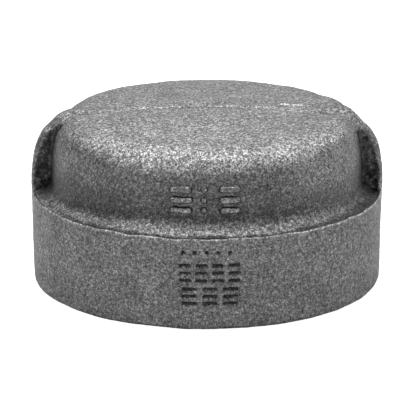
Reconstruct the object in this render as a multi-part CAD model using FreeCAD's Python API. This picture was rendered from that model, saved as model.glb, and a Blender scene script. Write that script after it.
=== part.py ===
import FreeCAD, Part
import math
import os

# Threaded pipe cap, nominal size 2, heavy class, cast in malleable iron. Millimetres.
# The origin is the centre of the open mouth, +Z points to the crown, and the two ribs lie along X.
# The cap is one casting. Its regions are written as separate solids that meet face to face:
# the domed shell, the band around the mouth, the two ribs, the threaded wall and the raised marks.

# Band around the mouth, with a little casting draft towards the foot
BAND_RADIUS = 41.65
BAND_FOOT_RADIUS = 41.25
BAND_HEIGHT = 21.9
BAND_LIP_ROUND = 0.35
BAND_FOOT_ROUND = 1.25

# Domed shell above the band. Its wall leans in on a large arc under the shoulder, and flares out to the band.
CROWN_HEIGHT = 42.3
CROWN_RADIUS = 240.0
SHOULDER_RADIUS = 8.4
WALL_RADIUS = 37.0
WALL_LEAN_DEG = 12.0
WALL_LEAN_RADIUS = 30.0
FLARE_RADIUS = 4.0
FLARE_TURN_DEG = 52.0
FLARE_FOOT_RADIUS = 41.0
METAL_THICKNESS = 6.55
CAVITY_CORNER_RADIUS = 5.0

# Ribs on the parting plane. The crest starts straight up at the band's radius, then follows
# arcs of (radius, turn in degrees) inwards until it sinks into the crown.
RIB_THICKNESS = 4.5
RIB_EDGE_ROUND = 1.2
RIB_STRAIGHT_TOP = 26.0
RIB_CREST_ARCS = ((29.0, 14.0), (6.0, 30.0), (60.0, 6.0), (6.0, 34.0), (100.0, 10.0))
SLIVER_VOLUME = 1.0

# Female taper pipe thread, 11.5 turns to the inch, taper 1 in 16 on diameter
THREAD_PITCH = 25.4 / 11.5
THREAD_TAPER_DEG = math.degrees(math.atan(1 / 32))
THREAD_PITCH_RADIUS_AT_MOUTH = 29.16
THREAD_DEPTH = 0.8 * THREAD_PITCH
THREAD_FLANK_DEG = 30.0
THREAD_CREST_GAP = 0.14
THREAD_LENGTH = 25.4
BORE_RADIUS = 28.4
MOUTH_CHAMFER_RADIUS = 30.9
THREAD_WALL_RADIUS = 32.0

# Plain raised marks on the front of the dome, standing in for the casting's lettering
RAISED_RELIEF = 0.8
RAISED_STROKE = 1.2
RAISED_ROW_BOTTOM = 26.9
RAISED_ROW_TOP = 32.9
RAISED_BAR_GROUPS = ((-5.8, 4.8), (5.3, 4.4))
RAISED_PIP_X = -0.6
BARS_IN_GROUP = 3

# Plain sunk marks on the front of the band: a row of pips, then two rows of short bars
SUNK_DEPTH = 0.6
SUNK_STROKE = 0.95
PIP_ROW_Z = 18.7
PIP_ROW_X = (-5.4, -2.7, 0.0, 2.7, 5.4)
SUNK_ROWS = (
    {"z": 13.7, "height": 4.6, "centres": (-4.9, -1.2, 2.6, 6.4), "length": 2.8},
    {"z": 8.1, "height": 4.4, "centres": (-4.0, 0.75, 5.5), "length": 3.6},
)

CUT_MARGIN = 5.0


def point(r, z):
    return FreeCAD.Vector(r, 0, z)


def line(a, b):
    return Part.makeLine(a, b)


def arc(a, middle, b):
    return Part.Arc(a, middle, b).toShape()


def on_circle(centre_r, centre_z, radius, angle_deg):
    angle = math.radians(angle_deg)
    return point(centre_r + radius * math.cos(angle), centre_z + radius * math.sin(angle))


def circle_arc(centre_r, centre_z, radius, start_deg, end_deg):
    return arc(
        on_circle(centre_r, centre_z, radius, start_deg),
        on_circle(centre_r, centre_z, radius, (start_deg + end_deg) / 2),
        on_circle(centre_r, centre_z, radius, end_deg),
    )


def revolve(edges):
    face = Part.Face(Part.Wire(edges))
    return face.revolve(FreeCAD.Vector(0, 0, 0), FreeCAD.Vector(0, 0, 1), 360)


def cylinder(radius, bottom, top):
    return Part.makeCylinder(radius, top - bottom, FreeCAD.Vector(0, 0, bottom))


def crown_edges(crown_radius, top, corner_radius, corner_r, end_deg):
    """Crown arc from the axis and the corner arc that turns it down to end_deg, and the corner centre's height."""
    crown_z = top - crown_radius
    rise = math.sqrt((crown_radius - corner_radius) ** 2 - corner_r**2)
    corner_z = crown_z + rise
    join_deg = math.degrees(math.atan2(rise, corner_r))
    crown = circle_arc(0, crown_z, crown_radius, 90, join_deg)
    corner = circle_arc(corner_r, corner_z, corner_radius, join_deg, end_deg)
    return [crown, corner], corner_z


def outer_dome(offset=0.0):
    """Solid of the dome's outside above the band, grown by the offset."""
    lean = math.radians(WALL_LEAN_DEG)
    shoulder_r = WALL_RADIUS - WALL_LEAN_RADIUS * (1 - math.cos(lean)) - SHOULDER_RADIUS * math.cos(lean)
    edges, shoulder_z = crown_edges(
        CROWN_RADIUS + offset, CROWN_HEIGHT + offset, SHOULDER_RADIUS + offset, shoulder_r, WALL_LEAN_DEG
    )
    wall_top = shoulder_z - (WALL_LEAN_RADIUS - SHOULDER_RADIUS) * math.sin(lean)
    edges.append(circle_arc(WALL_RADIUS - WALL_LEAN_RADIUS, wall_top, WALL_LEAN_RADIUS + offset, WALL_LEAN_DEG, 0))

    turn = math.radians(FLARE_TURN_DEG)
    flare = FLARE_RADIUS - offset
    flare_r = WALL_RADIUS + FLARE_RADIUS
    slope_start_r = flare_r - FLARE_RADIUS * math.cos(turn)
    slope_drop = (FLARE_FOOT_RADIUS - slope_start_r) / math.tan(turn)
    flare_z = BAND_HEIGHT + slope_drop + FLARE_RADIUS * math.sin(turn)
    slope_start = on_circle(flare_r, flare_z, flare, 180 + FLARE_TURN_DEG)
    slope_end = point(slope_start.x + (slope_start.z - BAND_HEIGHT) * math.tan(turn), BAND_HEIGHT)
    edges.append(line(point(WALL_RADIUS + offset, wall_top), point(WALL_RADIUS + offset, flare_z)))
    edges.append(circle_arc(flare_r, flare_z, flare, 180, 180 + FLARE_TURN_DEG))
    edges.append(line(slope_start, slope_end))
    edges.append(line(slope_end, point(0, BAND_HEIGHT)))
    edges.append(line(point(0, BAND_HEIGHT), point(0, CROWN_HEIGHT + offset)))
    return revolve(edges)


def cavity():
    """As-cast hollow behind the thread."""
    radius = WALL_RADIUS - METAL_THICKNESS
    top = CROWN_HEIGHT - METAL_THICKNESS
    corner_r = radius - CAVITY_CORNER_RADIUS
    edges, wall_top = crown_edges(CROWN_RADIUS, top, CAVITY_CORNER_RADIUS, corner_r, 0)
    edges.append(line(point(radius, wall_top), point(radius, THREAD_LENGTH)))
    edges.append(line(point(radius, THREAD_LENGTH), point(0, THREAD_LENGTH)))
    edges.append(line(point(0, THREAD_LENGTH), point(0, top)))
    return revolve(edges)


def domed_shell():
    """The dome, hollow behind the thread and open where the threaded wall goes."""
    thread_room = cylinder(THREAD_WALL_RADIUS, 0, THREAD_LENGTH)
    return outer_dome().cut(cavity()).cut(thread_room)


def slot_shape(x, z, length, width):
    """A bar with round ends seen from the front, or a pip when its length equals its width, running back from
    in front of the cap to well inside its metal."""
    front = -BAND_RADIUS - CUT_MARGIN
    reach = BAND_RADIUS / 2
    half = (length - width) / 2
    backwards = FreeCAD.Vector(0, 1, 0)
    left_end = Part.makeCylinder(width / 2, reach, FreeCAD.Vector(x - half, front, z), backwards)
    if half == 0:
        return left_end
    right_end = Part.makeCylinder(width / 2, reach, FreeCAD.Vector(x + half, front, z), backwards)
    middle = Part.makeBox(2 * half, reach, width, FreeCAD.Vector(x - half, front, z - width / 2))
    return left_end.fuse(right_end).fuse(middle)


def bar_heights(z, height, width):
    """Heights of the bars that fill a row of the given height."""
    step = (height - width) / (BARS_IN_GROUP - 1)
    return [z - (height - width) / 2 + step * i for i in range(BARS_IN_GROUP)]


def raised_marks():
    """Two groups of bars with a column of pips between them, standing out of the dome's front wall."""
    z = (RAISED_ROW_BOTTOM + RAISED_ROW_TOP) / 2
    heights = bar_heights(z, RAISED_ROW_TOP - RAISED_ROW_BOTTOM, RAISED_STROKE)
    skin = outer_dome(RAISED_RELIEF).cut(outer_dome())
    marks = []
    for mark_z in heights:
        marks.append(slot_shape(RAISED_PIP_X, mark_z, RAISED_STROKE, RAISED_STROKE).common(skin))
        for x, length in RAISED_BAR_GROUPS:
            marks.append(slot_shape(x, mark_z, length, RAISED_STROKE).common(skin))
    return Part.makeCompound([solid for mark in marks for solid in mark.Solids])


def sunk_marks():
    """Cutter for the marks in the band's front."""
    floor = cylinder(BAND_FOOT_RADIUS - SUNK_DEPTH, 0, BAND_HEIGHT)
    cutters = [slot_shape(x, PIP_ROW_Z, SUNK_STROKE, SUNK_STROKE) for x in PIP_ROW_X]
    for row in SUNK_ROWS:
        for x in row["centres"]:
            for z in bar_heights(row["z"], row["height"], SUNK_STROKE):
                cutters.append(slot_shape(x, z, row["length"], SUNK_STROKE))
    return [cutter.cut(floor) for cutter in cutters]


def band():
    """Ring around the mouth, with its foot and lip rounded and the marks sunk into its front."""
    foot_centre_r = BAND_FOOT_RADIUS - BAND_FOOT_ROUND
    lip_centre = point(BAND_RADIUS - BAND_LIP_ROUND, BAND_HEIGHT - BAND_LIP_ROUND)
    inner_foot = point(THREAD_WALL_RADIUS, 0)
    inner_top = point(THREAD_WALL_RADIUS, BAND_HEIGHT)
    ring = revolve([
        line(inner_foot, point(foot_centre_r, 0)),
        circle_arc(foot_centre_r, BAND_FOOT_ROUND, BAND_FOOT_ROUND, -90, 0),
        line(point(BAND_FOOT_RADIUS, BAND_FOOT_ROUND), point(BAND_RADIUS, lip_centre.z)),
        circle_arc(lip_centre.x, lip_centre.z, BAND_LIP_ROUND, 0, 90),
        line(point(lip_centre.x, BAND_HEIGHT), inner_top),
        line(inner_top, inner_foot),
    ])
    for cutter in sunk_marks():
        ring = ring.cut(cutter)
    return ring


def rib_crest():
    """Edges of the rib's crest, from the band's edge up and inwards, and the point where they end."""
    here = point(BAND_RADIUS, RIB_STRAIGHT_TOP)
    edges = [line(point(BAND_RADIUS, BAND_HEIGHT), here)]
    heading = 0.0
    for radius, turn in RIB_CREST_ARCS:
        centre_r = here.x - radius * math.cos(math.radians(heading))
        centre_z = here.z - radius * math.sin(math.radians(heading))
        edges.append(circle_arc(centre_r, centre_z, radius, heading, heading + turn))
        heading += turn
        here = on_circle(centre_r, centre_z, radius, heading)
    return edges, here


def on_crest(edge, end):
    """Whether an edge of the rib's plate runs along its crest, on the front or the back face."""
    middle = edge.valueAt((edge.FirstParameter + edge.LastParameter) / 2)
    across = abs(edge.tangentAt(edge.FirstParameter).y) > abs(edge.tangentAt(edge.FirstParameter).x)
    above_band = middle.z > BAND_HEIGHT + RIB_EDGE_ROUND
    return above_band and middle.x > end.x + RIB_EDGE_ROUND and not across


def rib(side):
    """Flat rib from the band up over the shoulder, on the +X side (1) or the -X side (-1)."""
    edges, end = rib_crest()
    inner_foot = point(end.x, BAND_HEIGHT)
    edges.append(line(end, inner_foot))
    edges.append(line(inner_foot, point(BAND_RADIUS, BAND_HEIGHT)))
    plate = Part.Face(Part.Wire(edges)).extrude(FreeCAD.Vector(0, RIB_THICKNESS, 0))
    plate.translate(FreeCAD.Vector(0, -RIB_THICKNESS / 2, 0))
    crest_edges = [edge for edge in plate.Edges if on_crest(edge, end)]
    solid = plate.makeFillet(RIB_EDGE_ROUND, crest_edges).cut(outer_dome())
    if side < 0:
        solid.rotate(FreeCAD.Vector(0, 0, 0), FreeCAD.Vector(0, 0, 1), 180)
    return Part.makeCompound([piece for piece in solid.Solids if piece.Volume > SLIVER_VOLUME])


def thread_groove():
    """Taper thread groove, one turn longer than the threaded wall at both ends."""
    length = THREAD_LENGTH + 2 * THREAD_PITCH
    slope = math.tan(math.radians(THREAD_TAPER_DEG))
    bottom = -THREAD_PITCH
    pitch_radius_at_top = THREAD_PITCH_RADIUS_AT_MOUTH - (bottom + length) * slope
    flank = math.tan(math.radians(THREAD_FLANK_DEG))
    root_half_width = THREAD_PITCH / 4 - THREAD_DEPTH / 2 * flank
    open_half_width = (THREAD_PITCH - THREAD_CREST_GAP) / 2
    open_depth = (open_half_width - THREAD_PITCH / 4) / flank
    corners = [
        point(pitch_radius_at_top - open_depth, -open_half_width),
        point(pitch_radius_at_top + THREAD_DEPTH / 2, -root_half_width),
        point(pitch_radius_at_top + THREAD_DEPTH / 2, root_half_width),
        point(pitch_radius_at_top - open_depth, open_half_width),
    ]
    profile = Part.makePolygon(corners + corners[:1])
    path = Part.makeLongHelix(THREAD_PITCH, length, pitch_radius_at_top, THREAD_TAPER_DEG)
    groove = path.makePipeShell([profile], True, True)
    groove.rotate(FreeCAD.Vector(0, 0, 0), FreeCAD.Vector(1, 0, 0), 180)
    groove.translate(FreeCAD.Vector(0, 0, bottom + length))
    return groove


def bore_flare(wide_z, narrow_z, wide_radius):
    """Cone that opens the bore out to a wider radius at one end."""
    direction = FreeCAD.Vector(0, 0, math.copysign(1, narrow_z - wide_z))
    wide_end = FreeCAD.Vector(0, 0, wide_z)
    return Part.makeCone(wide_radius, BORE_RADIUS, abs(narrow_z - wide_z), wide_end, direction)


def threaded_wall():
    """Wall that carries the thread, chamfered at the mouth and relieved where it meets the hollow."""
    relief_radius = WALL_RADIUS - METAL_THICKNESS
    mouth_depth = MOUTH_CHAMFER_RADIUS - BORE_RADIUS
    relief_depth = relief_radius - BORE_RADIUS
    tube = cylinder(THREAD_WALL_RADIUS, 0, THREAD_LENGTH).cut(cylinder(BORE_RADIUS, 0, THREAD_LENGTH))
    wall = tube.cut(thread_groove())
    wall = wall.cut(bore_flare(0, mouth_depth, MOUTH_CHAMFER_RADIUS))
    return wall.cut(bore_flare(THREAD_LENGTH, THREAD_LENGTH - relief_depth, relief_radius))


SUB_PARTS = {
    "domed_shell": domed_shell,
    "band": band,
    "threaded_wall": threaded_wall,
    "right_rib": lambda: rib(1),
    "left_rib": lambda: rib(-1),
    "raised_marks": raised_marks,
}

os.makedirs("parts", exist_ok=True)
for name, build in SUB_PARTS.items():
    shape = build()
    shape.exportStep(f"parts/{name}.step")
    print(name, len(shape.Solids), round(shape.Volume, 1), shape.isValid())
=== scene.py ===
"""Pipe cap: the looks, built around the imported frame.

Lengths are in millimetres until a mesh is made. The mouth is on z = 0, the ribs lie along X and the marks
face -Y. The cap is one casting without joints, so every piece rides on the root body.
"""
import math

import bpy
import numpy as np
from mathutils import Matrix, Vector


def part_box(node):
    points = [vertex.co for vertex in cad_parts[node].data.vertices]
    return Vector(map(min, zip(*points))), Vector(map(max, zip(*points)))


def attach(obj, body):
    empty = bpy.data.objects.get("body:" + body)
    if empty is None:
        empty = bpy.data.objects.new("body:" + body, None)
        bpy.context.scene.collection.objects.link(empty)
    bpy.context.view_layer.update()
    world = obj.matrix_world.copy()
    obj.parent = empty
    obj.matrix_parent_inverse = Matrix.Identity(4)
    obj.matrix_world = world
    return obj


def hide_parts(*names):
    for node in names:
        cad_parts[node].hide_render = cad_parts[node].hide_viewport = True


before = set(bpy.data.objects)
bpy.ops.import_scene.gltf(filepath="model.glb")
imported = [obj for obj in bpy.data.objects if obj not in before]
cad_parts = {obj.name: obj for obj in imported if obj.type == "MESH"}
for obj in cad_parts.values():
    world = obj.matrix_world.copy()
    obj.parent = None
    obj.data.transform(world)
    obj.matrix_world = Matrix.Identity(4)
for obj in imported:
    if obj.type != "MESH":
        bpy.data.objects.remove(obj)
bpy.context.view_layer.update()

METRES = 0.001


def box_mm(node):
    """Lowest and highest corner of a CAD node's box."""
    low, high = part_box(node)
    return np.array(low) / METRES, np.array(high) / METRES


# ---------------------------------------------------------------- sizes

# Taken from the CAD
band_high = box_mm("band")[1]
dome_high = box_mm("domed_shell")[1]
thread_high = box_mm("threaded_wall")[1]
rib_low, rib_high = box_mm("right_rib")
marks_low, marks_high = box_mm("raised_marks")
BAND_RADIUS = band_high[0]
BAND_HEIGHT = band_high[2]
RIB_THICKNESS = rib_high[1] - rib_low[1]
THREAD_WALL_RADIUS = thread_high[0]
THREAD_LENGTH = thread_high[2]

# Band around the mouth, and the crease between it and the dome
BAND_FOOT_RADIUS = BAND_RADIUS - 0.4
FOOT_ROUND = 1.25
LIP_ROUND = 0.3
CREASE_DEPTH = 0.55
CREASE_WIDTH = 0.75
INSIDE_CREASE = (0.5, 0.3)
CREASE_FILL = {"height": 0.4, "spread": 0.5, "x": (-31, -38)}

# Uneven edge between band and dome: (cell size, height) of each layer, and how far up and down it is felt
EDGE_WOBBLE = ((3.4, 0.2), (1.2, 0.1))
DOME_EDGE_REACH = 1.0
BAND_EDGE_REACH = 0.7

# Dome above the band, with one outline at the ribs and one at the front and back: radius of the wall, round
# of the shoulder, tilt and curve of the wall, round of the flare and how far it turns outwards. The skin ends
# hidden in the band, away from the crease by UNDER_BAND.
CROWN_TOP = dome_high[2] - 0.1
CROWN_RADIUS = 240.0
DISC_RADIUS = 27.0
WALL_RADIUS = BAND_RADIUS - 4.8
WALL_LEAN = 3.0
SHOULDER_DEPTH = 10.0
UNDER_BAND = (0.25, -0.8)
SIDE_SHAPE = {
    "wall": WALL_RADIUS, "shoulder": 8.4, "tilt": 12.0, "curve": 34.0, "flare": 2.4, "turn": 66.0,
}
FRONT_SHAPE = {
    "wall": WALL_RADIUS + 0.4, "shoulder": 8.2, "tilt": 16.0, "curve": 26.0, "flare": 5.0, "turn": 47.0,
}
METAL_THICKNESS = 6.55
CAVITY_CORNER_RADIUS = 5.0
UNDERSIDE_STEP = 4.0

# The shoulder stands fuller towards the ribs: for each side (x where that starts, x where it is whole,
# height), and a last bit of height by the right rib
SHOULDER = {"reach": 33.0, "spread": 4.5, "rise": (33, 38)}
FULLER_SIDES = ((-12, -28, 0.4), (12, 28, 0.5))
FULLER_SPOT = {"x": 31.5, "spread": 3.2, "height": 0.8}

# Ribs: crest points (distance from the axis, height) from inside the band up and over to the axis
RIB_EDGE = 1.3
RIB_ROOT = 0.8
SOFT_WHEN_LOW = {"edge": 3.0, "root": 4.0, "below": (3.4, 1.0), "above": (0.15, 0.4)}
LEAST_FLAT = 0.1
LOWEST_RIB = 0.08
RIB_INTO_BAND = 3.0
RIB_SINK = 0.02
RIB_UNDERSIDE = -1.2
LEFT_CREST = (
    (40.9, 20.6), (41.5, 21.7), (41.75, 23.2), (41.7, 25.5), (41.3, 29.5), (40.4, 33.2), (38.8, 36.1),
    (36.7, 38.1), (34.5, 39.8), (31.0, 41.0), (27.0, 41.3), (22.0, 41.55), (15.0, 42.0), (8.0, 42.3),
    (0.0, 42.42),
)
RIGHT_CREST = (
    (40.9, 20.6), (41.5, 21.7), (41.75, 23.2), (41.75, 26.5), (41.3, 30.5), (40.8, 32.8), (40.2, 34.2),
    (38.8, 36.2), (36.4, 38.4), (34.2, 40.0), (31.0, 41.0), (27.0, 41.3), (22.0, 41.55), (15.0, 42.0),
    (8.0, 42.3), (0.0, 42.42),
)

# Broken flash along the parting line over the crown
FLASH = {
    "half_length": 28, "y": 2.1, "spread": 0.2,
    "height": 0.32, "cell": 2.6, "rise": (0.05, 0.5),
    "fine_height": 0.1, "fine_cell": 0.8,
    "sway": 0.2, "sway_cell": 2.0,
}

# Marks rise or sink over a range of gaps from their uneven outlines; a gap is negative inside a mark
UNEVEN_CELL = 0.9
RAISED_EDGE = {"uneven": 0.12, "gaps": (0.3, -0.12)}
SUNK_EDGE = {"uneven": 0.08, "gaps": (0.12, -0.3)}

# Plain raised marks on the dome's wall: bars as (x of the centre, length), three to a group
RAISED_RELIEF = 0.8
RAISED_STROKE = 1.2
RAISED_GROUPS = ((-5.8, 4.8), (-0.6, RAISED_STROKE), (5.3, 4.4))
PATCH_MARGIN = 1.2
PATCH_SPACING = 0.13
PATCH_THICKNESS = 1.0
PATCH_SINK = 0.05

# Plain sunk marks on the band
SUNK_DEPTH = 0.6
SUNK_STROKE = 0.95
SUNK_REACH_IN = 0.5
PIP_ROW_Z = 18.7
PIP_ROW_X = (-5.4, -2.7, 0.0, 2.7, 5.4)
SUNK_ROWS = (
    {"z": 13.7, "height": 4.6, "centres": (-4.9, -1.2, 2.6, 6.4), "length": 2.8},
    {"z": 8.1, "height": 4.4, "centres": (-4.0, 0.75, 5.5), "length": 3.6},
)

# Sand-cast roughness: (cell size, height) of each layer of lumps, and rougher metal at the foot of the ribs
SAND_LAYERS = ((9.0, 0.12), (3.2, 0.05), (1.3, 0.035), (0.62, 0.03))
ROUGH_FOOT = {"place": (40.0, 2.6, 23.5), "stretch": (1, 1, 0.7), "spread": 2.2, "cell": 1.1, "height": 0.3}

# Mesh
DOME_COLUMNS = 720
WALL_RINGS = 70
FLARE_RINGS = 13
FLARE_RINGS_START = BAND_HEIGHT + 1.0
BAND_COLUMNS = 832
FRONT_CROWDING = 0.3
OUTLINE_SPACING = 0.1
CAVITY_SPACING = {"thread": 4, "ledge": 1, "hollow": 0.8}
BAND_SPACING = {"shown": 0.25, "lip": 0.12, "foot": 0.28, "mouth": 0.9, "bore": 9, "hidden": 5}
RIB_SPACING = 0.25
RIB_SIDE_POINTS = 42
RIB_ROUND_POINTS = 24
CURVE_STEPS = 40

# ---------------------------------------------------------------- painted shading and wear

# Painted shade and highlights, with some wear, stored at the points. Each is at most "most" strong and fades
# in
# over the heights or x that are named: 0 leaves the colour as it is, 1 is darkest and below 0 the skin is
# lighter
# Painted shade in the corners between the ribs and the dome's wall
SHADE_IN_POCKETS = {"most": 0.6, "spread": 0.8, "inwards": 2.5, "heights": (37, 34)}
# Patchy painted shade on the flare at the foot of the ribs
SHADE_AT_RIB_FEET = {"right": 0.5, "right_x": (24, 34), "left": 0.35, "left_x": (-33, -37), "heights": (27, 25)}
FOOT_SHADE_PATCHES = {"cell": 0.9, "change": 0.9}
# Painted shade in the hollow between the dome's wall and the flare
SHADE_IN_HOLLOW = {"most": 0.5, "more_on_left": 0.12, "from": (21.2, 24.8), "to": (35, 28)}
HOLLOW_DROP = {"right": 1.4, "right_x": (5, 30), "left": 1.1, "left_x": (-12, -28)}
# Painted shade along the crease above the band
SHADE_IN_CREASE = {
    "least": 0.3, "more": 0.65, "more_x": (-38, -30),
    "spread": 0.45, "wider": 0.5, "wider_x": (16, 34),
    "from_edge": -0.1, "lowest": -2,
}
# Painted shade on the rib's sides and over the crest, and painted glints on the flash
SHADE_ON_RIB_SIDES = {"most": 0.85, "change": 0.25, "cell": 0.8, "fade": 0.7, "top_fade": 1.2}
UNSHADED_CREST = {"depth": 0.35, "more": 0.6, "heights": (26, 33)}
RIB_SHADE_TOP = {"right": 37.3, "left": 39.0}
SHADE_ON_CREST = {"most": 0.3, "x": 29, "spread": 5, "heights": (38, 40)}
FLASH_GLINTS = {"most": 0.9, "heights": (0.06, 0.22)}
# Painted highlight on the lip, a slight darkening of the band and painted shade in the sunk marks
LIP_HIGHLIGHT = {"most": 0.8, "below_top": 0.15, "spread": 0.25, "inwards": (-0.8, -0.4)}
DARKER_BAND = {"least": 0.04, "more": 0.08, "more_x": (-5, 20)}
SHADE_IN_SUNK_MARKS = 0.65
# Painted shadow around the raised bars, whose tops are lightened by wear and painted highlight
SHADOW_AROUND_RAISED_MARKS = {"most": 0.95, "gap": 0.22, "spread": 0.22, "beyond": (-0.3, 0.2)}
WORN_AND_LIT_RAISED_MARKS = {"most": 0.25, "gaps": (0, -0.3)}

# ---------------------------------------------------------------- noise

TABLE_SIZE = 64
RANDOM_TABLE = np.random.default_rng(7).uniform(-1, 1, (TABLE_SIZE, TABLE_SIZE, TABLE_SIZE))
LATTICE_SHIFT = 17.3

# Seeds that keep the patterns of lumps apart
SEED = {
    "mark_edges": 5, "foot_patches": 8, "rough_foot": 9, "rib_painted_shading": 11, "flash": 12, "flash_fine": 13,
    "flash_sway": 14, "dome_edge": 20, "band_edge": 30,
}


def lumps(points, cell, seed):
    """Smooth random values in -1..1 on a lattice of the given cell size."""
    scaled = points / cell + LATTICE_SHIFT * (seed + 1)
    low = np.floor(scaled).astype(int)
    part = scaled - low
    part = part * part * part * (part * (part * 6 - 15) + 10)
    total = np.zeros(len(points))
    for corner in range(8):
        step = np.array([corner & 1, (corner >> 1) & 1, corner >> 2])
        index = (low + step) % TABLE_SIZE
        weight = np.prod(np.where(step, part, 1 - part), axis=1)
        total += weight * RANDOM_TABLE[index[:, 0], index[:, 1], index[:, 2]]
    return total


def smooth_step(low, high, x):
    """0 before low, 1 past high and a smooth rise between; low may be the larger of the two."""
    t = np.clip((x - low) / (high - low), 0, 1)
    return t * t * (3 - 2 * t)


def hump(x, width):
    """1 at x = 0, falling off smoothly to both sides."""
    return np.exp(-(x / width) ** 2)


def reach_of(points):
    """Distance of each point from the axis."""
    return np.hypot(points[:, 0], points[:, 1])


def full_shoulder(points):
    """How far the shoulder stands fuller on its way to the ribs, most of all at one spot by the right rib."""
    x = points[:, 0]
    on_shoulder = hump(reach_of(points) - SHOULDER["reach"], SHOULDER["spread"])
    on_shoulder *= smooth_step(*SHOULDER["rise"], points[:, 2])
    fuller = sum(height * smooth_step(start, whole, x) for start, whole, height in FULLER_SIDES)
    fuller += FULLER_SPOT["height"] * hump(x - FULLER_SPOT["x"], FULLER_SPOT["spread"])
    return on_shoulder * fuller


def rough_foot(points):
    """Rougher metal around the foot of each rib."""
    from_foot = np.linalg.norm((np.abs(points) - ROUGH_FOOT["place"]) * ROUGH_FOOT["stretch"], axis=1)
    rough = lumps(points, ROUGH_FOOT["cell"], SEED["rough_foot"])
    return ROUGH_FOOT["height"] * hump(from_foot, ROUGH_FOOT["spread"]) * rough


def cast_relief(points):
    """How far each point of the real casting is off the plain shape."""
    sand = sum(height * lumps(points, cell, seed) for seed, (cell, height) in enumerate(SAND_LAYERS))
    return sand + rough_foot(points) + full_shoulder(points)


def edge_wobble(points, seed):
    """Uneven run of the edge between the band and the dome, the same all the way up at each bearing."""
    reach = np.maximum(reach_of(points), 1)
    bearing = points * (1, 1, 0) * BAND_RADIUS / reach[:, None]
    layers = enumerate(EDGE_WOBBLE)
    return sum(height * lumps(bearing, cell, seed + layer) for layer, (cell, height) in layers)


def filled_crease(points):
    """How far the crease's bottom is lifted where metal fills it, towards the left rib."""
    from_bottom = points[:, 2] - (BAND_HEIGHT - CREASE_DEPTH)
    towards_left = smooth_step(*CREASE_FILL["x"], points[:, 0])
    return CREASE_FILL["height"] * hump(from_bottom, CREASE_FILL["spread"]) * towards_left


# ---------------------------------------------------------------- outlines

def arc(centre, radius, start_deg, end_deg, spacing):
    """Points along an arc, about the given spacing apart."""
    count = max(2, int(math.radians(abs(end_deg - start_deg)) * radius / spacing) + 1)
    angles = np.radians(np.linspace(start_deg, end_deg, count))
    return np.stack([centre[0] + radius * np.cos(angles), centre[1] + radius * np.sin(angles)], 1)


def straight(a, b, spacing):
    """Points along a straight line, at most the given spacing apart."""
    count = max(2, int(math.dist(a, b) / spacing) + 2)
    return np.linspace(a, b, count)


def joined(*pieces):
    """One outline from pieces that share their end points."""
    points = [pieces[0]]
    for piece in pieces[1:]:
        same = np.allclose(points[-1][-1], piece[0], atol=1e-6)
        points.append(piece[1:] if same else piece)
    return np.concatenate(points)


def spread(points, count):
    """The same outline with a set number of evenly spaced points."""
    along = np.concatenate([[0], np.cumsum(np.hypot(*np.diff(points, axis=0).T))])
    new = np.linspace(0, along[-1], count)
    return np.stack([np.interp(new, along, points[:, i]) for i in (0, 1)], 1)


def even(points, spacing):
    """The same outline with its points about the given spacing apart."""
    length = np.hypot(*np.diff(points, axis=0).T).sum()
    return spread(points, int(round(length / spacing)) + 1)


def through(corners, spacing):
    """Smooth curve through the corners."""
    knots = np.array(corners, float)
    ends = np.concatenate([2 * knots[:1] - knots[1:2], knots, 2 * knots[-1:] - knots[-2:-1]])
    t = np.linspace(0, 1, CURVE_STEPS)[:-1, None]
    pieces = []
    for a, b, c, d in zip(ends, ends[1:], ends[2:], ends[3:]):
        pieces.append(b + 0.5 * t * (c - a + t * (2 * a - 5 * b + 4 * c - d + t * (3 * (b - c) + d - a))))
    return even(np.concatenate(pieces + [knots[-1:]]), spacing)


def dome_outline(shape, spacing):
    """From the apex over the shoulder, down the tilting wall and the flare into the crease at the band."""
    wall, shoulder, curve, flare = shape["wall"], shape["shoulder"], shape["curve"], shape["flare"]
    tilt = math.radians(shape["tilt"])
    turn = math.radians(shape["turn"])
    crease = (BAND_RADIUS - CREASE_WIDTH, BAND_HEIGHT - CREASE_DEPTH)
    end = (crease[0] + UNDER_BAND[0], crease[1] + UNDER_BAND[1])
    slope_out = crease[0] - wall - flare * (1 - math.cos(turn))
    flare_z = crease[1] + slope_out / math.tan(turn) + flare * math.sin(turn)
    shoulder_r = wall - curve * (1 - math.cos(tilt)) - shoulder * math.cos(tilt)
    crown_z = CROWN_TOP - CROWN_RADIUS
    shoulder_z = crown_z + math.sqrt((CROWN_RADIUS - shoulder) ** 2 - shoulder_r**2)
    join_deg = math.degrees(math.atan2(shoulder_z - crown_z, shoulder_r))
    curve_z = shoulder_z + (shoulder - curve) * math.sin(tilt)
    sloping = arc((wall + flare, flare_z), flare, 180, 180 + shape["turn"], spacing / 4)
    return joined(
        arc((0, crown_z), CROWN_RADIUS, 90, join_deg, spacing),
        arc((shoulder_r, shoulder_z), shoulder, join_deg, shape["tilt"], spacing / 4),
        arc((wall - curve, curve_z), curve, shape["tilt"], 0, spacing),
        straight((wall, curve_z), (wall, flare_z), spacing),
        sloping,
        straight(tuple(sloping[-1]), crease, spacing),
        straight(crease, end, spacing),
    )


def towards_front(bearing):
    """0 at the ribs, 1 at the front and back."""
    return np.sin(bearing) ** 2


# ---------------------------------------------------------------- meshes

def wall_faces(rings, columns, start=0):
    """Quads between rings of points, each ring closed on itself, top ring first."""
    row, column = np.meshgrid(np.arange(rings - 1), np.arange(columns), indexing="ij")
    after = (column + 1) % columns
    a, b = row * columns + column, row * columns + after
    c, d = a + columns, b + columns
    return (np.stack([a, c, d, b], -1).reshape(-1, 4) + start).tolist()


def bridge(upper, lower):
    """Quads between two closed loops of point indices, in the same order as wall_faces."""
    return list(zip(upper, lower, lower[1:] + lower[:1], upper[1:] + upper[:1]))


def loop(start, count):
    """Indices of a ring of points."""
    return list(range(start, start + count))


def crowd_front(angles):
    """Bearings pulled towards the front, where the marks are."""
    from_front = angles + math.pi / 2
    return angles - FRONT_CROWDING * np.sin(from_front)


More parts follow.
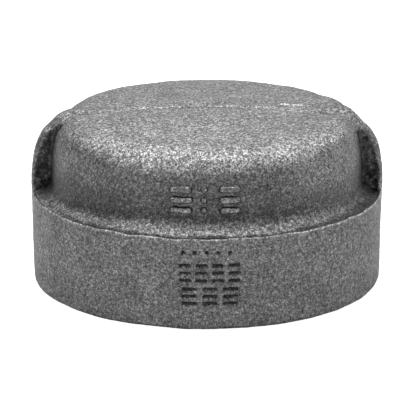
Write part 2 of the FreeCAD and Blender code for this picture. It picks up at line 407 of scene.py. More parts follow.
def bearings(columns):
    """Bearings of a ring's points, from the corner of the disc grid."""
    return crowd_front(np.radians(-135 + np.arange(columns) * 360 / columns))


def ring_points(r, z, columns):
    """A ring of points; r and z are numbers, or one for each point."""
    angles = bearings(columns)
    return np.stack([r * np.cos(angles), r * np.sin(angles), np.broadcast_to(z, columns)], 1)


def disc_grid(cells):
    """Points of a square grid mapped onto the unit disc, so that the rim falls on a ring's points."""
    a, b = np.meshgrid(np.linspace(-1, 1, cells + 1), np.linspace(-1, 1, cells + 1), indexing="xy")
    wide = np.abs(a) >= np.abs(b)
    radius = np.where(wide, a, b)
    safe = np.where(radius == 0, 1, radius)
    angle = np.where(wide, math.pi / 4 * b / safe, math.pi / 2 - math.pi / 4 * a / safe)
    angle = crowd_front(np.where(radius < 0, angle + math.pi, angle))
    radius = np.abs(radius)
    return np.stack([radius * np.cos(angle), radius * np.sin(angle)], -1).reshape(-1, 2)


def disc_rim(cells):
    """Indices of the grid's rim, anticlockwise from the corner at -135 degrees."""
    side = cells + 1
    bottom = list(range(cells))
    right = [side * i + cells for i in range(cells)]
    top = [side * cells + cells - i for i in range(cells)]
    left = [side * (cells - i) for i in range(cells)]
    return bottom + right + top + left


def disc_faces(cells, start=0, upwards=True):
    """Quads of the disc's grid, whose first point has the index start."""
    side = cells + 1
    row, column = np.meshgrid(np.arange(cells), np.arange(cells), indexing="ij")
    a = row * side + column + start
    order = [a, a + 1, a + side + 1, a + side] if upwards else [a, a + side, a + side + 1, a + 1]
    return np.stack(order, -1).reshape(-1, 4).tolist()


def halving_faces(fine, coarse, columns):
    """Triangles from a ring of 2n points (first index fine) to one of n points (first index coarse)."""
    half = columns // 2
    faces = []
    for i in range(half):
        a, b, c = fine + 2 * i, fine + 2 * i + 1, fine + (2 * i + 2) % columns
        p, q = coarse + i, coarse + (i + 1) % half
        faces += [(a, p, b), (b, p, q), (b, q, c)]
    return faces


def closed_patch(rows, columns):
    """Faces of a slab: a grid of outer points, then a grid of inner points the same size."""
    size = rows * columns
    faces = []
    for i in range(rows - 1):
        for j in range(columns - 1):
            a = i * columns + j
            faces.append((a, a + 1, a + columns + 1, a + columns))
            faces.append((a + size, a + columns + size, a + columns + 1 + size, a + 1 + size))
        left, right = i * columns, i * columns + columns - 1
        faces.append((left, left + columns, left + columns + size, left + size))
        faces.append((right + columns, right, right + size, right + columns + size))
    for j in range(columns - 1):
        last = size - columns + j
        faces.append((j + 1, j, j + size, j + size + 1))
        faces.append((last, last + 1, last + size + 1, last + size))
    return faces


def normals_of(points, faces):
    """Area-weighted normals of a mesh's points."""
    corners = np.array([f if len(f) == 4 else (f[0], f[1], f[2], f[2]) for f in faces])
    a, b, c, d = (points[corners[:, i]] for i in range(4))
    across = np.cross(c - a, d - b)
    total = np.zeros_like(points)
    for i in range(4):
        np.add.at(total, corners[:, i], across)
    length = np.linalg.norm(total, axis=1, keepdims=True)
    return total / np.where(length == 0, 1, length)


def make_piece(name, points, faces, painted_shading_and_wear, material, node):
    """One closed visual piece with its painted shading and wear (-1 lighter, 1 darker) stored at its points.
    """
    mesh = bpy.data.meshes.new(name)
    mesh.from_pydata((points * METRES).tolist(), [], faces)
    mesh.attributes.new("painted_shading_and_wear", "FLOAT", "POINT").data.foreach_set("value", np.clip(painted_shading_and_wear, -1, 1))
    mesh.validate()
    mesh.update()
    mesh.shade_smooth()
    piece = bpy.data.objects.new(name, mesh)
    bpy.context.scene.collection.objects.link(piece)
    mesh.materials.append(material)
    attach(piece, "root")
    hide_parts(node)


# ---------------------------------------------------------------- domed shell

def crown_drop(reach):
    """How far the crown has fallen below its apex at a distance from the axis."""
    return CROWN_RADIUS - np.sqrt(CROWN_RADIUS**2 - reach**2)


def crowned(disc, top):
    """Points of a flat disc laid on the crown's curve, with the apex at the given height."""
    return np.column_stack([disc, top - crown_drop(reach_of(disc))])


def below_crown(shape):
    """The dome's outline from the edge of the crown's disc down, closer spaced near the band."""
    outline = dome_outline(shape, OUTLINE_SPACING)
    start = np.array([(DISC_RADIUS, CROWN_TOP - crown_drop(DISC_RADIUS))])
    outline = np.concatenate([start, outline[outline[:, 0] > DISC_RADIUS + OUTLINE_SPACING / 2]])
    split = np.argmax(outline[:, 1] < FLARE_RINGS_START)
    return joined(spread(outline[:split + 1], WALL_RINGS), spread(outline[split:], FLARE_RINGS))


def dome_outside():
    """Points and faces of the dome's skin: the crown's disc, then rings down to one hidden in the band."""
    cells = DOME_COLUMNS // 4
    disc = disc_grid(cells) * DISC_RADIUS
    points = [crowned(disc, CROWN_TOP)]
    faces = disc_faces(cells) + bridge(disc_rim(cells), loop(len(disc), DOME_COLUMNS))
    front = towards_front(bearings(DOME_COLUMNS))
    side_rings, front_rings = below_crown(SIDE_SHAPE)[1:], below_crown(FRONT_SHAPE)[1:]
    for (side_r, side_z), (front_r, front_z) in zip(side_rings, front_rings):
        r = side_r + (front_r - side_r) * front
        z = side_z + (front_z - side_z) * front
        points.append(ring_points(r, z, DOME_COLUMNS))
    faces += wall_faces(len(side_rings), DOME_COLUMNS, len(disc))
    return np.concatenate(points), faces


def cavity_outline(floor_z):
    """From the outside of the thread's wall up to its end, out and up the cast hollow to its ceiling."""
    cavity_r = WALL_RADIUS - METAL_THICKNESS
    corner_r = cavity_r - CAVITY_CORNER_RADIUS
    corner_z = CROWN_TOP - METAL_THICKNESS - crown_drop(corner_r) - CAVITY_CORNER_RADIUS
    return joined(
        straight((THREAD_WALL_RADIUS, floor_z), (THREAD_WALL_RADIUS, THREAD_LENGTH), CAVITY_SPACING["thread"]),
        straight((THREAD_WALL_RADIUS, THREAD_LENGTH), (cavity_r, THREAD_LENGTH), CAVITY_SPACING["ledge"]),
        straight((cavity_r, THREAD_LENGTH), (cavity_r, corner_z), CAVITY_SPACING["hollow"]),
        arc((corner_r, corner_z), CAVITY_CORNER_RADIUS, 0, 90, CAVITY_SPACING["hollow"]),
    )


def dome_inside(start, floor_z):
    """Points and faces that close the dome from below: an underside hidden in the band, then the cavity.

    The columns are halved twice on the way in. start is the number of points outside; their last ring, at
    the height floor_z, is joined to the underside.
    """
    half, quarter = DOME_COLUMNS // 2, DOME_COLUMNS // 4
    cells = quarter // 4
    cavity = cavity_outline(floor_z)
    cavity_start = start + half
    ceiling_start = cavity_start + quarter * (len(cavity) - 1)
    points = [ring_points(THREAD_WALL_RADIUS + UNDERSIDE_STEP, floor_z, half)]
    points += [ring_points(r, z, quarter) for r, z in cavity[:-1]]
    points.append(crowned(disc_grid(cells) * cavity[-1][0], CROWN_TOP - METAL_THICKNESS))
    faces = halving_faces(start - DOME_COLUMNS, start, DOME_COLUMNS)
    faces += halving_faces(start, cavity_start, half)
    faces += wall_faces(len(cavity) - 1, quarter, cavity_start)
    faces += bridge(loop(ceiling_start - quarter, quarter), [ceiling_start + i for i in disc_rim(cells)])
    faces += disc_faces(cells, ceiling_start, upwards=False)
    return np.concatenate(points), faces


def crease_shade(points):
    """Painted shade as a dark line in the crease above the band, fainter at the left rib and wider towards the
    right one.
    """
    x = points[:, 0]
    z = points[:, 2]
    above = np.maximum(z - BAND_HEIGHT - SHADE_IN_CREASE["from_edge"], 0)
    width = SHADE_IN_CREASE["spread"] + SHADE_IN_CREASE["wider"] * smooth_step(*SHADE_IN_CREASE["wider_x"], x)
    strength = SHADE_IN_CREASE["least"] + SHADE_IN_CREASE["more"] * smooth_step(*SHADE_IN_CREASE["more_x"], x)
    shown = (reach_of(points) > WALL_RADIUS) & (z > BAND_HEIGHT + SHADE_IN_CREASE["lowest"])
    return np.where(shown, hump(above, width) * strength, 0)


def pocket_shade(points):
    """Painted shade in the corners between the ribs and the dome's wall."""
    from_rib = np.maximum(np.abs(points[:, 1]) - RIB_THICKNESS / 2, 0)
    beside = (np.abs(points[:, 0]) > WALL_RADIUS - SHADE_IN_POCKETS["inwards"]) & (reach_of(points) < BAND_RADIUS)
    low_enough = smooth_step(*SHADE_IN_POCKETS["heights"], points[:, 2])
    return SHADE_IN_POCKETS["most"] * hump(from_rib, SHADE_IN_POCKETS["spread"]) * beside * low_enough


def rib_foot_shade(points):
    """Patchy painted shade on the flare at the foot of the ribs, heavier on the right."""
    patchy = 1 + FOOT_SHADE_PATCHES["change"] * lumps(points, FOOT_SHADE_PATCHES["cell"], SEED["foot_patches"])
    beside = SHADE_AT_RIB_FEET["right"] * smooth_step(*SHADE_AT_RIB_FEET["right_x"], points[:, 0])
    beside += SHADE_AT_RIB_FEET["left"] * smooth_step(*SHADE_AT_RIB_FEET["left_x"], points[:, 0])
    outside = reach_of(points) > WALL_RADIUS
    return beside * patchy * outside * smooth_step(*SHADE_AT_RIB_FEET["heights"], points[:, 2])


def hollow_shade(points):
    """Thin painted shade in the hollow between the dome's wall and the flare, lying lower down at the sides.
    """
    to_right = smooth_step(*HOLLOW_DROP["right_x"], points[:, 0])
    to_left = smooth_step(*HOLLOW_DROP["left_x"], points[:, 0])
    z = points[:, 2] + HOLLOW_DROP["right"] * to_right + HOLLOW_DROP["left"] * to_left
    strength = SHADE_IN_HOLLOW["most"] + SHADE_IN_HOLLOW["more_on_left"] * to_left
    return strength * smooth_step(*SHADE_IN_HOLLOW["from"], z) * smooth_step(*SHADE_IN_HOLLOW["to"], z)


def domed_shell(material):
    """The crown, shoulder, wall and flare with the cast surface, closed inside."""
    skin_points, faces = dome_outside()
    inner_points, inner_faces = dome_inside(len(skin_points), skin_points[-1][2])
    points = np.concatenate([skin_points, inner_points])
    faces += inner_faces
    moved = points + normals_of(points, faces) * cast_relief(points)[:, None]
    near_edge = hump(points[:, 2] - BAND_HEIGHT, DOME_EDGE_REACH) * (reach_of(points) > WALL_RADIUS)
    moved[:, 2] += near_edge * (edge_wobble(moved, SEED["dome_edge"]) + filled_crease(points))
    # Painted shade in the crease, the rib pockets, at the rib feet and in the hollow above the flare
    painted_shading_and_wear = np.maximum(crease_shade(points), pocket_shade(points))
    painted_shading_and_wear = np.maximum(painted_shading_and_wear, rib_foot_shade(points))
    painted_shading_and_wear = np.maximum(painted_shading_and_wear, hollow_shade(points))
    make_piece("domed_shell_cast", moved, faces, painted_shading_and_wear, material, "domed_shell")


# ---------------------------------------------------------------- marks

def bar_heights(z, height, width, count=3):
    """Heights of evenly spaced bars that fill a row centred on z."""
    step = (height - width) / (count - 1)
    return [z - (height - width) / 2 + step * i for i in range(count)]


def sunk_bars():
    """(x, z, half of the straight length) of each sunk mark."""
    bars = [(x, PIP_ROW_Z, 0.0) for x in PIP_ROW_X]
    for row in SUNK_ROWS:
        for x in row["centres"]:
            for z in bar_heights(row["z"], row["height"], SUNK_STROKE):
                bars.append((x, z, (row["length"] - SUNK_STROKE) / 2))
    return bars


def raised_bars():
    """(x, z, half of the straight length) of each raised mark."""
    z = (marks_low[2] + marks_high[2]) / 2
    height = marks_high[2] - marks_low[2]
    heights = bar_heights(z, height, RAISED_STROKE)
    return [(x, h, (length - RAISED_STROKE) / 2) for x, length in RAISED_GROUPS for h in heights]


def gap_from_bars(points, bars, stroke, uneven):
    """Distance from the nearest bar's uneven outline, seen from the front; negative inside the bar."""
    x, z = points[:, 0], points[:, 2]
    nearest = np.full(len(points), np.inf)
    for bar_x, bar_z, half in bars:
        past_end = np.maximum(np.abs(x - bar_x) - half, 0)
        nearest = np.minimum(nearest, np.hypot(past_end, z - bar_z) - stroke / 2)
    return nearest + uneven * lumps(points, UNEVEN_CELL, SEED["mark_edges"])


def wall_radius(shape, z):
    """The dome's radius at a height between its shoulder and the band."""
    outline = dome_outline(shape, OUTLINE_SPACING)
    wall = outline[outline[:, 0] > WALL_RADIUS - WALL_LEAN][::-1]
    return np.interp(z, wall[:, 1], wall[:, 0])


def raised_marks(material):
    """Thin patch of the wall that carries the raised bars, its plain parts just under the dome's skin."""
    low, high = marks_low - PATCH_MARGIN, marks_high + PATCH_MARGIN
    xs, zs = (np.arange(low[i], high[i], PATCH_SPACING) for i in (0, 2))
    z, x = (g.ravel() for g in np.meshgrid(zs, xs, indexing="ij"))
    front = 1 - (x / WALL_RADIUS) ** 2
    skin_r = wall_radius(SIDE_SHAPE, z) * (1 - front) + wall_radius(FRONT_SHAPE, z) * front
    plain = np.column_stack([x, -np.sqrt(skin_r**2 - x**2), z])
    gap = gap_from_bars(plain, raised_bars(), RAISED_STROKE, RAISED_EDGE["uneven"])
    relief = RAISED_RELIEF * smooth_step(*RAISED_EDGE["gaps"], gap) - PATCH_SINK + cast_relief(plain)
    outwards = np.column_stack([x, plain[:, 1], np.zeros(len(x))]) / skin_r[:, None]
    points = np.concatenate([plain + outwards * relief[:, None], plain - outwards * PATCH_THICKNESS])
    # Painted shadow around each raised bar, the hollow's painted shade beyond it, and tops lightened by wear
    # and painted highlight
    shadowed = hump(gap - SHADOW_AROUND_RAISED_MARKS["gap"], SHADOW_AROUND_RAISED_MARKS["spread"])
    shadowed *= SHADOW_AROUND_RAISED_MARKS["most"]
    in_hollow = hollow_shade(plain) * smooth_step(*SHADOW_AROUND_RAISED_MARKS["beyond"], gap)
    worn_and_lit = WORN_AND_LIT_RAISED_MARKS["most"] * smooth_step(*WORN_AND_LIT_RAISED_MARKS["gaps"], gap)
    painted_shading_and_wear = np.tile(np.maximum(shadowed, in_hollow) - worn_and_lit, 2)
    make_piece("raised_marks_cast", points, closed_patch(len(zs), len(xs)), painted_shading_and_wear, material, "raised_marks")


# ---------------------------------------------------------------- band

def band_outline():
    """Closed outline of the band's section, from inside the crease over the lip and down to the mouth."""
    foot_centre = (BAND_FOOT_RADIUS - FOOT_ROUND, FOOT_ROUND)
    lip_centre = (BAND_RADIUS - LIP_ROUND, BAND_HEIGHT - LIP_ROUND)
    start_r = BAND_RADIUS - CREASE_WIDTH - INSIDE_CREASE[0]
    start_z = BAND_HEIGHT - CREASE_DEPTH - INSIDE_CREASE[1]
    return joined(
        straight((start_r, start_z), (lip_centre[0], BAND_HEIGHT), BAND_SPACING["shown"]),
        arc(lip_centre, LIP_ROUND, 90, 0, BAND_SPACING["lip"]),
        straight((BAND_RADIUS, lip_centre[1]), (BAND_FOOT_RADIUS, FOOT_ROUND), BAND_SPACING["shown"]),
        arc(foot_centre, FOOT_ROUND, 0, -90, BAND_SPACING["foot"]),
        straight((foot_centre[0], 0), (THREAD_WALL_RADIUS, 0), BAND_SPACING["mouth"]),
        straight((THREAD_WALL_RADIUS, 0), (THREAD_WALL_RADIUS, start_z), BAND_SPACING["bore"]),
        straight((THREAD_WALL_RADIUS, start_z), (start_r, start_z), BAND_SPACING["hidden"]),
    )[:-1]


def band_shading(points, sunk):
    """Painted shade in the sunk marks, a slight darkening heavier on the right, and a painted highlight on the
    lip.
    """
    darker = DARKER_BAND["least"] + DARKER_BAND["more"] * smooth_step(*DARKER_BAND["more_x"], points[:, 0])
    at_lip = hump(points[:, 2] - BAND_HEIGHT + LIP_HIGHLIGHT["below_top"], LIP_HIGHLIGHT["spread"])
    at_lip *= smooth_step(*LIP_HIGHLIGHT["inwards"], reach_of(points) - BAND_RADIUS)
    return darker + SHADE_IN_SUNK_MARKS * sunk / SUNK_DEPTH - LIP_HIGHLIGHT["most"] * at_lip


def band(material):
    """The ring around the mouth with the cast surface, its edge and the sunk marks."""
    outline = band_outline()
    points = np.concatenate([ring_points(r, z, BAND_COLUMNS) for r, z in outline])
    last_ring = loop((len(outline) - 1) * BAND_COLUMNS, BAND_COLUMNS)
    faces = wall_faces(len(outline), BAND_COLUMNS) + bridge(last_ring, loop(0, BAND_COLUMNS))
    normals = normals_of(points, faces)
    on_front = (points[:, 1] < 0) & (reach_of(points) > BAND_FOOT_RADIUS - SUNK_REACH_IN)
    gap = gap_from_bars(points, sunk_bars(), SUNK_STROKE, SUNK_EDGE["uneven"])
    sunk = SUNK_DEPTH * smooth_step(*SUNK_EDGE["gaps"], gap) * on_front
    moved = points + normals * cast_relief(points)[:, None] - normals * sunk[:, None]
    near_edge = hump(points[:, 2] - BAND_HEIGHT, BAND_EDGE_REACH)
    moved[:, 2] += near_edge * (edge_wobble(moved, SEED["band_edge"]) + filled_crease(points))
    moved[:, 2] = np.maximum(moved[:, 2], 0)
    make_piece("band_cast", moved, faces, band_shading(points, sunk), material, "band")


# ---------------------------------------------------------------- ribs

def nearest_dome(crest):
    """For each crest point: the closest point of the dome without its flare, and the dome's normal there."""
    fine = OUTLINE_SPACING / 2
    dome = dome_outline(SIDE_SHAPE, fine)
    below_shoulder = dome[:, 1] < CROWN_TOP - SHOULDER_DEPTH
    flare_start = np.argmax(below_shoulder & (dome[:, 0] > WALL_RADIUS + 0.01))
    wall_end = straight((WALL_RADIUS, dome[flare_start, 1]), (WALL_RADIUS, BAND_HEIGHT - RIB_INTO_BAND), fine)
    dome = even(joined(dome[:flare_start], wall_end), fine)
    gaps = np.hypot(*(crest[:, None, :] - dome[None, :, :]).transpose(2, 0, 1))
    along = np.gradient(dome, axis=0)
    normal = np.stack([-along[:, 1], along[:, 0]], 1) / np.hypot(*along.T)[:, None]
    nearest = gaps.argmin(1)
    return dome[nearest], normal[nearest]


def rib_section(height):
    """(y, height) points from the front root over the crest to the back root, with wide rounds when low."""
    soft = smooth_step(*SOFT_WHEN_LOW["below"], height) * smooth_step(*SOFT_WHEN_LOW["above"], height)
    edge_r = RIB_EDGE + SOFT_WHEN_LOW["edge"] * soft
    root_r = RIB_ROOT + SOFT_WHEN_LOW["root"] * soft
    turn = math.acos(max(0.0, 1 - height / (edge_r + root_r)))
    edge_a = np.linspace(0, turn, RIB_ROUND_POINTS)
    root_a = np.linspace(turn, 0, RIB_ROUND_POINTS)
    width = (edge_r + root_r) * math.sin(turn)
    flat = max(LEAST_FLAT, RIB_THICKNESS / 2 - RIB_EDGE - max(0.0, width - RIB_EDGE - RIB_ROOT) / 2)
    edge = np.stack([flat + edge_r * np.sin(edge_a), height - edge_r * (1 - np.cos(edge_a))], 1)
    end = edge[-1] + (root_r * math.sin(turn), 0)
    root = np.stack([end[0] - root_r * np.sin(root_a), root_r * (1 - np.cos(root_a))], 1)
    side = spread(joined(np.array([(0, height)]), edge, root), RIB_SIDE_POINTS)
    return np.concatenate([side[::-1] * (-1, 1), side[1:]])


def flash(x, y):
    """Broken ridge of metal left along the parting line over the crown."""
    along = np.column_stack([x, np.zeros(len(x)), np.zeros(len(x))])
    height = FLASH["height"] * smooth_step(*FLASH["rise"], lumps(along, FLASH["cell"], SEED["flash"]))
    height += FLASH["fine_height"] * lumps(along, FLASH["fine_cell"], SEED["flash_fine"])
    from_line = y - FLASH["y"] + FLASH["sway"] * lumps(along, FLASH["sway_cell"], SEED["flash_sway"])
    return np.maximum(height, 0) * hump(from_line, FLASH["spread"]) * (np.abs(x) < FLASH["half_length"])


def rib_painted_shading(points, below_crest, ridge, top):
    """Patchy painted shade on the sides up to top and over the shoulder's crest; painted glints on the flash.
    """
    z = points[:, 2]
    unshaded = UNSHADED_CREST["depth"] + UNSHADED_CREST["more"] * smooth_step(*UNSHADED_CREST["heights"], z)
    patchy = SHADE_ON_RIB_SIDES["change"] * lumps(points, SHADE_ON_RIB_SIDES["cell"], SEED["rib_painted_shading"])
    sides = (SHADE_ON_RIB_SIDES["most"] + patchy) * smooth_step(0, SHADE_ON_RIB_SIDES["fade"], below_crest - unshaded)
    sides *= smooth_step(top, top - SHADE_ON_RIB_SIDES["top_fade"], z)
    crest = SHADE_ON_CREST["most"] * hump(np.abs(points[:, 0]) - SHADE_ON_CREST["x"], SHADE_ON_CREST["spread"])
    crest *= smooth_step(*SHADE_ON_CREST["heights"], z)
    return sides + crest - FLASH_GLINTS["most"] * smooth_step(*FLASH_GLINTS["heights"], ridge)


def rib(side, corners, material):
    """A rib laid on the dome along its crest; side is "right" (+X) or "left" (-X)."""
    direction = 1 if side == "right" else -1
    crest = through(corners, RIB_SPACING)
    base, normal = nearest_dome(crest)
    heights = np.maximum(((crest - base) * normal).sum(1), LOWEST_RIB)
    outer, inner, below_crest, ridges = [], [], [], []
    for (r, z), (out_r, out_z), height in zip(base, normal, heights):
        across, up = rib_section(height).T
        ridge = flash(np.full(len(across), direction * r), across)
        fall = across**2 * abs(out_r) / (2 * max(r, 1)) * (1 - up / height)
        lift = up - RIB_SINK + ridge - fall
        outer.append(np.column_stack([r + out_r * lift, across, z + out_z * lift]))
        under = np.linspace(across[0], across[-1], len(across))
        flat = np.full(len(across), RIB_UNDERSIDE)
        inner.append(np.column_stack([r + out_r * flat, under, z + out_z * flat]))
        below_crest.append(height - up)
        ridges.append(ridge)
    points = np.concatenate(outer + inner) * (direction, direction, 1)
    faces = closed_patch(len(outer), len(outer[0]))
    below_crest, ridges = (np.tile(np.concatenate(values), 2) for values in (below_crest, ridges))
    painted_shading_and_wear = rib_painted_shading(points, below_crest, ridges, RIB_SHADE_TOP[side])
    points += normals_of(points, faces) * cast_relief(points)[:, None]
    make_piece(f"{side}_rib_cast", points, faces, painted_shading_and_wear, material, f"{side}_rib")


# ---------------------------------------------------------------- materials

# Casting grain: (cell size, detail, roughness, share) of each layer of noise
GRAIN_LAYERS = ((0.22, 2.0, 0.5, 0.35), (0.36, 2.0, 0.6, 0.35), (0.75, 2.0, 0.6, 0.3))
GRAIN_CONTRAST = 9.0
GRAIN_BUMP = 0.12
SKIN_COLOUR = 0.255
BRIGHTEST_GRAIN = 0.9
SKIN_METALLIC = 0.85
CUT_METALLIC = 0.9
TOOL_LINE_BUMP = 0.03
# Reach and samples of the ambient occlusion that darkens the skin's colour as painted shade
OPENNESS = {"reach": 6.0, "samples": 8}

# Other noise: (cell size, detail)
BLOTCHES = (6.0, 3.0)
TOOL_LINES = (0.16, 1.0)
OIL_PATCHES = (2.5, 3.0)

# Rescaling: (low, high) of what goes in, then of what comes out
GRAIN_UPWARDS = (0, 1, 1.0, 1.6)
BLOTCH_SHADE = (0.3, 0.7, 0.85, 1.15)
OPENNESS_SHADE = (0.3, 0.95, 0.25, 1.0)
# Stored painted shading and wear: 1 darkens the colour as painted shade, -1 lightens it
SHADING_AND_WEAR_TO_COLOUR = (-1, 1, 1.88, 0.12)
SKIN_ROUGHNESS = (0.35, 0.65, 0.48, 0.34)
TOOL_LINE_SHADE = (0.3, 0.7, 0.3, 0.55)
OIL_PATCH_SHADE = (0.3, 0.7, 0.7, 1.1)
CUT_ROUGHNESS = (0.3, 0.7, 0.42, 0.28)


class Shader:
    """A material and the few node kinds these surfaces need."""

    def __init__(self, name):
        self.material = bpy.data.materials.new(name)
        self.material.use_nodes = True
        self.nodes = self.material.node_tree.nodes
        self.links = self.material.node_tree.links
        self.surface = self.nodes["Principled BSDF"]
        self.place = self.nodes.new("ShaderNodeTexCoord").outputs["Object"]

    def set(self, socket, value):
        """Give a socket a plain value, or link another socket to it."""
        if isinstance(value, (int, float, tuple)):
            socket.default_value = value
        else:
            self.links.new(value, socket)

    def height_only(self):
        """Places that change only with height, for marks that run around the axis."""
        apart = self.nodes.new("ShaderNodeSeparateXYZ")
        together = self.nodes.new("ShaderNodeCombineXYZ")
        self.links.new(self.place, apart.inputs["Vector"])
        self.links.new(apart.outputs["Z"], together.inputs["Z"])
        return together.outputs["Vector"]

    def facing_up(self):
        """How far the surface faces up: 1 on top, 0 on a wall."""
        apart = self.nodes.new("ShaderNodeSeparateXYZ")
        geometry = self.nodes.new("ShaderNodeNewGeometry")
        self.links.new(geometry.outputs["Normal"], apart.inputs["Vector"])
        return apart.outputs["Z"]

    def noise(self, cell_mm, detail, roughness=0.5, place=None):
        """Noise around 0.5, with patches of about the given size."""
        node = self.nodes.new("ShaderNodeTexNoise")
        node.inputs["Scale"].default_value = 1 / (cell_mm * METRES)
        node.inputs["Detail"].default_value = detail
        node.inputs["Roughness"].default_value = roughness
        self.links.new(place or self.place, node.inputs["Vector"])
        return node.outputs["Fac"]

    def openness(self):
        """1 in the open, less where the piece closes in on itself; the skin uses it as painted shade."""
        node = self.nodes.new("ShaderNodeAmbientOcclusion")
        node.samples = OPENNESS["samples"]
        node.only_local = True
        node.inputs["Distance"].default_value = OPENNESS["reach"] * METRES
        return node.outputs["AO"]

    def stored(self, name):
        """A value stored at the mesh's points."""
        node = self.nodes.new("ShaderNodeAttribute")
        node.attribute_name = name
        return node.outputs["Fac"]

    def math(self, operation, a, b=0.0):
        node = self.nodes.new("ShaderNodeMath")
        node.operation = operation
        self.set(node.inputs[0], a)
        self.set(node.inputs[1], b)
        return node.outputs["Value"]

    def rescale(self, value, from_low, from_high, to_low, to_high):
        node = self.nodes.new("ShaderNodeMapRange")
        for socket, number in zip(node.inputs[1:5], (from_low, from_high, to_low, to_high)):
            socket.default_value = number
        self.links.new(value, node.inputs["Value"])
        return node.outputs["Result"]

    def bump(self, height, distance_mm):
        node = self.nodes.new("ShaderNodeBump")
        node.inputs["Distance"].default_value = distance_mm * METRES
        self.links.new(height, node.inputs["Height"])
        return node.outputs["Normal"]


def casting_grain(shader):
    """Layered noise around 0.5."""
    layers = [shader.math("MULTIPLY", shader.noise(*layer), share) for *layer, share in GRAIN_LAYERS]
    grain = layers[0]
    for layer in layers[1:]:
        grain = shader.math("ADD", grain, layer)
    return grain


def cast_iron():
    """Grey sand-cast skin: grain, faint blotches, painted shade where closed in, stored painted shading and
    wear.

    The grain is stronger on faces that look up, which the light washes out.
    """
    skin = Shader("cast_iron_skin")
    grain = casting_grain(skin)
    upwards = skin.rescale(skin.facing_up(), *GRAIN_UPWARDS)
    contrast = skin.math("MULTIPLY", skin.math("SUBTRACT", grain, 0.5), upwards)
    speckle = skin.math("EXPONENT", skin.math("MULTIPLY", contrast, GRAIN_CONTRAST))
    colour = skin.math("MINIMUM", skin.math("MULTIPLY", speckle, SKIN_COLOUR), BRIGHTEST_GRAIN)
    # Faint blotches, painted shade where the piece closes in on itself, and the stored painted shading and
    # wear
    shades = (
        skin.rescale(skin.noise(*BLOTCHES), *BLOTCH_SHADE),
        skin.rescale(skin.openness(), *OPENNESS_SHADE),
        skin.rescale(skin.stored("painted_shading_and_wear"), *SHADING_AND_WEAR_TO_COLOUR),
    )
    for shade in shades:
        colour = skin.math("MULTIPLY", colour, shade)
    skin.set(skin.surface.inputs["Base Color"], colour)
    skin.set(skin.surface.inputs["Metallic"], SKIN_METALLIC)
    skin.set(skin.surface.inputs["Roughness"], skin.rescale(grain, *SKIN_ROUGHNESS))
    skin.set(skin.surface.inputs["Normal"], skin.bump(grain, GRAIN_BUMP))
    return skin.material


def cut_metal():
    """Bright cut iron with the fine lines a thread cutter leaves around it, and dull oily patches."""
    cut = Shader("cut_metal")
    lines = cut.noise(*TOOL_LINES, place=cut.height_only())
    patches = cut.noise(*OIL_PATCHES)
    shades = cut.rescale(lines, *TOOL_LINE_SHADE), cut.rescale(patches, *OIL_PATCH_SHADE)
    cut.set(cut.surface.inputs["Base Color"], cut.math("MULTIPLY", *shades))
    cut.set(cut.surface.inputs["Metallic"], CUT_METALLIC)
    cut.set(cut.surface.inputs["Roughness"], cut.rescale(patches, *CUT_ROUGHNESS))
    cut.set(cut.surface.inputs["Normal"], cut.bump(lines, TOOL_LINE_BUMP))
    return cut.material


# ---------------------------------------------------------------- stage

FLOOR_HALF = 6.0
FLOOR_COLOUR = (0.62, 0.62, 0.62, 1)
FLOOR_ROUGHNESS = 0.9
FLOOR_GLOW = 0.95
WHITE = (1, 1, 1, 1)
AMBIENT = 0.18

# Soft boxes as (name, bearing, height, power): bearing 0 is at +X and -90 at the front
BOX_SIZE = 0.7
BOX_DISTANCE = 1.2
BOX_AIM = Vector((0, 0, 0.025))
SOFT_BOXES = (
    ("back_high", 90, 45, 1.7), ("back_low", 90, 12, 0.55), ("back_left", 135, 45, 1.8),
    ("back_right", 45, 45, 1.9), ("front_left", -135, 45, 1.75), ("front_right", -45, 45, 1.0),
    ("right_high", 0, 45, 1.7), ("right_low", 0, 12, 0.9), ("left_high", 180, 45, 1.6),
    ("right_top", 0, 72, 1.5), ("left_top", 180, 72, 1.0), ("back_right_low", 45, 12, 0.8),
    ("back_left_low", 135, 12, 0.35), ("overhead", -90, 90, 2.0), ("back_top", 90, 72, 1.2),
    ("front_high", -90, 50, 0.7), ("left_front", -155, 50, 0.6),
)

# Camera, in metres
CAMERA_PLACE = (0.0002, -0.804, 0.265)
CAMERA_DOWN_DEG = 17.16
CAMERA_LENS = 305.9
SENSOR_WIDTH = 36.0


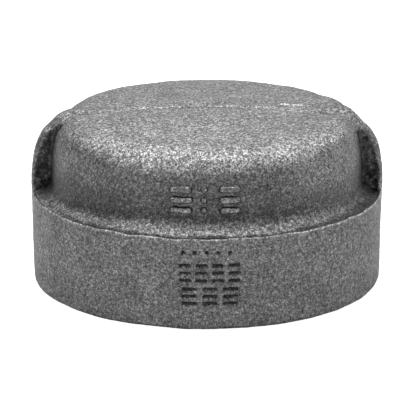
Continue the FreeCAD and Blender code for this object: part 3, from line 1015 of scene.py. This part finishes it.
def floor():
    """Plain pale floor that the camera sees close to white, with a soft trace of shadow."""
    mesh = bpy.data.meshes.new("floor")
    corners = [(x * FLOOR_HALF, y * FLOOR_HALF, 0) for x, y in ((-1, -1), (1, -1), (1, 1), (-1, 1))]
    mesh.from_pydata(corners, [], [(0, 1, 2, 3)])
    plane = bpy.data.objects.new("floor", mesh)
    bpy.context.scene.collection.objects.link(plane)
    pale = Shader("pale_floor")
    seen = pale.nodes.new("ShaderNodeLightPath").outputs["Is Camera Ray"]
    pale.set(pale.surface.inputs["Base Color"], FLOOR_COLOUR)
    pale.set(pale.surface.inputs["Roughness"], FLOOR_ROUGHNESS)
    pale.set(pale.surface.inputs["Emission Color"], WHITE)
    pale.set(pale.surface.inputs["Emission Strength"], pale.math("MULTIPLY", seen, FLOOR_GLOW))
    mesh.materials.append(pale.material)


def soft_box(name, bearing_deg, height_deg, power):
    """Square soft light that faces the cap."""
    bearing, height = math.radians(bearing_deg), math.radians(height_deg)
    level = math.cos(height)
    towards = Vector((math.cos(bearing) * level, math.sin(bearing) * level, math.sin(height)))
    light = bpy.data.lights.new(name, "AREA")
    light.size = BOX_SIZE
    light.energy = power
    lamp = bpy.data.objects.new(name, light)
    bpy.context.scene.collection.objects.link(lamp)
    lamp.location = BOX_AIM + towards * BOX_DISTANCE
    lamp.rotation_euler = towards.to_track_quat("Z", "Y").to_euler()


def surroundings():
    """White all around: dim as a light, full white to the camera."""
    world = bpy.data.worlds.new("studio")
    bpy.context.scene.world = world
    world.use_nodes = True
    nodes, links = world.node_tree.nodes, world.node_tree.links
    seen = nodes.new("ShaderNodeLightPath").outputs["Is Camera Ray"]
    strength = nodes.new("ShaderNodeMapRange")
    strength.inputs["To Min"].default_value = AMBIENT
    strength.inputs["To Max"].default_value = 1.0
    links.new(seen, strength.inputs["Value"])
    background = nodes["Background"]
    background.inputs["Color"].default_value = WHITE
    links.new(strength.outputs["Result"], background.inputs["Strength"])


def camera():
    """The photograph's viewing angle."""
    data = bpy.data.cameras.new("camera")
    data.sensor_width = SENSOR_WIDTH
    data.lens = CAMERA_LENS
    cam = bpy.data.objects.new("camera", data)
    bpy.context.scene.collection.objects.link(cam)
    cam.location = CAMERA_PLACE
    cam.rotation_euler = (math.radians(90 - CAMERA_DOWN_DEG), 0, 0)
    bpy.context.scene.camera = cam
    bpy.context.scene.view_settings.view_transform = "Standard"


# ---------------------------------------------------------------- build

skin = cast_iron()
domed_shell(skin)
band(skin)
rib("right", RIGHT_CREST, skin)
rib("left", LEFT_CREST, skin)
raised_marks(skin)
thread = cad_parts["threaded_wall"]
thread.data.materials.clear()
thread.data.materials.append(cut_metal())
floor()
for box in SOFT_BOXES:
    soft_box(*box)
surroundings()
camera()
